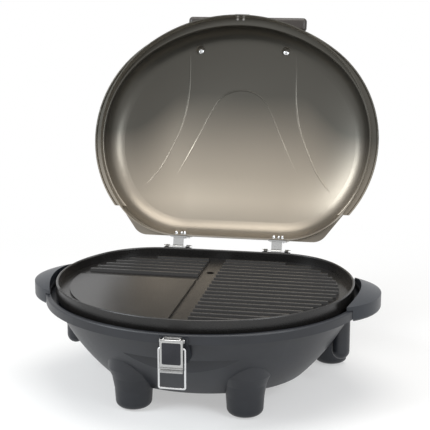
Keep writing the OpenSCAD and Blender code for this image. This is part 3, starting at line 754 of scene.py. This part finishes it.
@dataclass
class Lid(SubAssembly):
    """Pressed lid with its handle and the moving halves of the hinges and latch."""

    side: tuple[float, float] = (0.048, 0.18)
    front: tuple[float, float] = (0.064, 0.26)
    corner: Triple = (0.08, 0.024, 0.14)
    seam: float = 0.75
    back: float = 0.164
    deepest: float = -0.15
    crown: float = 0.22
    shoulder: float = 0.045
    crown_radius: float = 0.26
    arcs_meet: tuple[float, float] = (0.304353, 0.952558)
    sheet: float = 0.0016
    hinge: tuple[float, float] = (0.183, 0.154)
    opened: float = math.radians(108)
    screw_spot: tuple[float, float] = (0.073, -0.155)
    screw: Screw = Screw(0.0052, 0.0028, 0.0018, 0.0150)
    seat_drop: float = 0.009
    curve_steps: int = 12
    crease_width: float = 0.0042
    crease_rise: float = 0.0009
    crease_tail: float = 0.12
    crease_fade: float = 5.0
    crease_sunk: float = 0.00012
    crease_root: float = 0.0006
    root_width: float = 0.4

    def build(self) -> None:
        """Builds the lid's creases and screws, and dresses its nodes."""
        self.shop.dress(
            "lid_shell", "lid_handle", "lid_handle_screws", "hinge_lid_leaves",
            "hinge_lid_bolts", "latch_catch", "catch_rivets",
        )
        for name, path in self._crease_paths().items():
            for outer in (False, True):
                label = f"{name}_{'outside' if outer else 'inside'}"
                self.shop.put(label, self._crease(path, outer), "champagne_metal", "lid")
        self._screws()

    def _swing(self, p: Vector) -> Vector:
        """Turns a point from the shut lid to the lid as it stands open."""
        y, z = p.y - self.hinge[0], p.z - self.hinge[1]
        c, s = math.cos(self.opened), math.sin(self.opened)
        return Vector((p.x, self.hinge[0] + y * c + z * s, self.hinge[1] - y * s + z * c))

    def _edge_distance(self, x: float, y: float) -> float:
        """Distance outward from the dish's outline, negative inside it.

        Args:
            x: Place across the shut lid.
            y: Depth on the shut lid.

        Returns:
            The distance.
        """
        x = abs(x)
        below = self.front[0] - y
        if below > 0 and x <= self.seam * below:
            return math.hypot(x, below) - self.front[1]
        across = x - self.side[0]
        if across > 0 and y <= self.seam * across:
            return math.hypot(across, y) - self.side[1]
        dx, dy = x - self.corner[0], y - self.corner[1]
        if dx > 0 and dy > 0:
            return math.hypot(dx, dy) - self.corner[2]
        return max(y - self.back, self.deepest)

    def _dome(self, x: float, y: float, inset: float) -> float:
        """Height of the shut dome over a point.

        Args:
            x: Place across the lid.
            y: Depth on the lid.
            inset: 0 for the outer skin, the sheet's thickness for the inner one.

        Returns:
            The height.
        """
        d = self._edge_distance(x, y)
        gap = self.crown_radius - self.shoulder
        out, up = self.arcs_meet
        low = self.crown - self.crown_radius + up * gap
        middle = -self.shoulder - out * gap
        if d >= -self.shoulder + out * (self.shoulder - inset):
            span = (self.shoulder - inset) ** 2 - (d + self.shoulder) ** 2
            return low + math.sqrt(max(0.0, span))
        if d > middle:
            span = (self.crown_radius - inset) ** 2 - (d - middle) ** 2
            return self.crown - self.crown_radius + math.sqrt(span)
        return self.crown - inset

    def _crease_paths(self) -> dict[str, list[tuple[float, float]]]:
        """Smooth paths of the pressed creases on the shut lid."""
        bell = [(115, 78), (86, 22), (68, -15), (52, -50), (38, -74), (22, -86), (0, -91)]
        bell += [(-x, y) for x, y in reversed(bell[:-1])]
        flank = [
            (-160, 82), (-147, 66), (-131, 43), (-116, 12), (-102, -23), (-94, -61), (-91, -95),
            (-91, -138), (-93, -160),
        ]
        paths = {
            "bell_crease": bell,
            "left_crease": flank,
            "right_crease": [(-x, y) for x, y in flank],
        }
        return {name: self._smooth(path) for name, path in paths.items()}

    def _smooth(self, path: list[tuple[float, float]]) -> list[tuple[float, float]]:
        """Runs a smooth curve through points in millimetres.

        Args:
            path: The points.

        Returns:
            Closely spaced points in metres.
        """
        ends = [path[0], *path, path[-1]]
        fine = []
        for k in range(1, len(ends) - 2):
            a, b, c, d = (Vector((*ends[k + j], 0)) for j in (-1, 0, 1, 2))
            for step in range(self.curve_steps):
                t = step / self.curve_steps
                p = 0.5 * (
                    2 * b + (c - a) * t + (2 * a - 5 * b + 4 * c - d) * t**2
                    + (3 * b - a - 3 * c + d) * t**3
                )
                fine.append((p.x / MM, p.y / MM))
        fine.append((path[-1][0] / MM, path[-1][1] / MM))
        return fine

    def _crease(self, path: list[tuple[float, float]], outer: bool) -> Shape:
        """A fold that runs along the sheet and fades out at its ends.

        Args:
            path: Its line on the shut lid.
            outer: Whether it lies on the outer skin.

        Returns:
            The shape, on the open lid.
        """
        inset = 0.0 if outer else self.sheet
        sign = 1.0 if outer else -1.0
        rings = []
        for k, (x, y) in enumerate(path):
            x0, y0 = path[max(0, k - 1)]
            x1, y1 = path[min(len(path) - 1, k + 1)]
            run = Vector((x1 - x0, y1 - y0, 0)).normalized()
            aside = Vector((-run.y, run.x, 0))
            share = k / (len(path) - 1)
            fade = min(1.0, self.crease_fade * share, self.crease_fade * (1 - share))
            swell = fade * fade * (3 - 2 * fade)
            rise = self.crease_rise * (self.crease_tail + (1 - self.crease_tail) * swell)
            ring = []
            for step in range(9):
                u = step / 4 - 1
                q = Vector((x, y, 0)) + aside * u * self.crease_width / 2
                lift = rise * math.cos(u * math.pi / 2) ** 2 - self.crease_sunk
                ring.append(Vector((q.x, q.y, self._dome(q.x, q.y, inset) + sign * lift)))
            for u in (1, -1):
                q = Vector((x, y, 0)) + aside * u * self.crease_width * self.root_width
                low = self._dome(q.x, q.y, inset) - sign * self.crease_root
                ring.append(Vector((q.x, q.y, low)))
            rings.append(ring)
        return Shape().loft(rings).move(self._swing)

    def _screws(self) -> None:
        """Two domed screws that hold the handle from inside the lid."""
        pair = Shape()
        seat = self.crown - self.seat_drop - self.sheet
        for side in (-1, 1):
            spot = Vector((side * self.screw_spot[0], self.screw_spot[1], seat))
            place = Matrix.Translation(spot) @ Matrix.Rotation(math.pi, 4, "X")
            pair.add(self.screw.build().move(place.__matmul__).move(self._swing))
        piece = self.shop.put("handle_screw_pair", pair, "bright_steel", "lid")
        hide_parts("lid_handle_screws")


@dataclass
class Latch(SubAssembly):
    """Toggle latch under the front of the rim."""

    face: Triple = (-0.2290, 0.1075, 0.1372)
    half: float = 0.0127
    panel_corner: float = 0.0018
    corner_steps: int = 6
    panel_edge: tuple[tuple[float, float], ...] = (
        (0.0, -0.0003), (0.0, 0.00025), (0.0005, 0.00055), (0.0012, 0.0006),
    )

    def build(self) -> None:
        """Dresses the latch and adds a very dark metal panel on the lever's face."""
        self.shop.dress(
            "latch_bracket", "bracket_rivets", "latch_lever", "lever_pin", "latch_bail"
        )
        self.shop.put("lever_panel", self._panel(), "stainless_steel", "lever", "dark_panel_steel")

    def _panel(self) -> Shape:
        """Thin raised panel with rounded corners and a bevelled edge on the lever's face."""
        front, low, high = self.face
        rings = []
        for inset, out in self.panel_edge:
            rings.append(self._rounded(front - out, low + inset, high - inset, self.half - inset))
        return Shape().loft(rings)

    def _rounded(self, y: float, low: float, high: float, half: float) -> list[Vector]:
        """Rounded rectangle in the plane of the lever's face.

        Args:
            y: Depth of the plane.
            low: Lower edge.
            high: Upper edge.
            half: Half width.

        Returns:
            The ring's points.
        """
        r = self.panel_corner
        side, top, foot = half - r, high - r, low + r
        ring = []
        for quarter, (x, z) in enumerate(((side, top), (-side, top), (-side, foot), (side, foot))):
            for step in range(self.corner_steps + 1):
                turn = math.pi / 2 * (quarter + step / self.corner_steps)
                ring.append(Vector((x + r * math.cos(turn), y, z + r * math.sin(turn))))
        return ring


@dataclass
class Base(SubAssembly):
    """Moulded bowl with its grips, feet, heater, pan, inlet and fixed hinge leaves."""

    nodes: tuple[str, ...] = (
        "base_bowl", "foot_pads", "handle_left", "handle_right", "handle_screws",
        "reflector_pan", "pan_screws", "heating_element", "element_clips", "drip_cup",
        "inlet_socket", "inlet_pins", "probe_tube", "hinge_base_leaves", "hinge_base_screws",
        "hinge_pins",
    )
    hinge_screws: Triple = (0.081, 0.011, 0.122)
    screw: Screw = Screw(0.004, 0.0022, 0.0019, 0.0115)

    def build(self) -> None:
        """Dresses the base and adds the hinges' domed screws."""
        self.shop.dress(*self.nodes)
        hinge, apart, height = self.hinge_screws
        node = self.shop.frame["nodes"]["hinge_base_screws"]
        seat = max((node.matrix_world @ v.co).y for v in node.data.vertices) - self.screw.rise
        group = Shape()
        for side in (-1, 1):
            for step in (-1, 1):
                spot = Vector((side * hinge + step * apart, seat, height))
                place = Matrix.Translation(spot) @ Matrix.Rotation(-math.pi / 2, 4, "X")
                group.add(self.screw.build().move(place.__matmul__))
        piece = self.shop.put("hinge_screw_set", group, "plated_screw", "base")
        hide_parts("hinge_base_screws")


@dataclass
class Plate(SubAssembly):
    """Cast grill plate."""

    def build(self) -> None:
        """Dresses the casting."""
        self.shop.dress("grill_plate")


def main() -> None:
    """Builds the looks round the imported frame."""
    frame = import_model()
    shop = Workshop(frame)
    for assembly in (Base(shop), Plate(shop), Lid(shop), Latch(shop)):
        assembly.build()
    Studio().build()


if __name__ == "__main__":
    main()
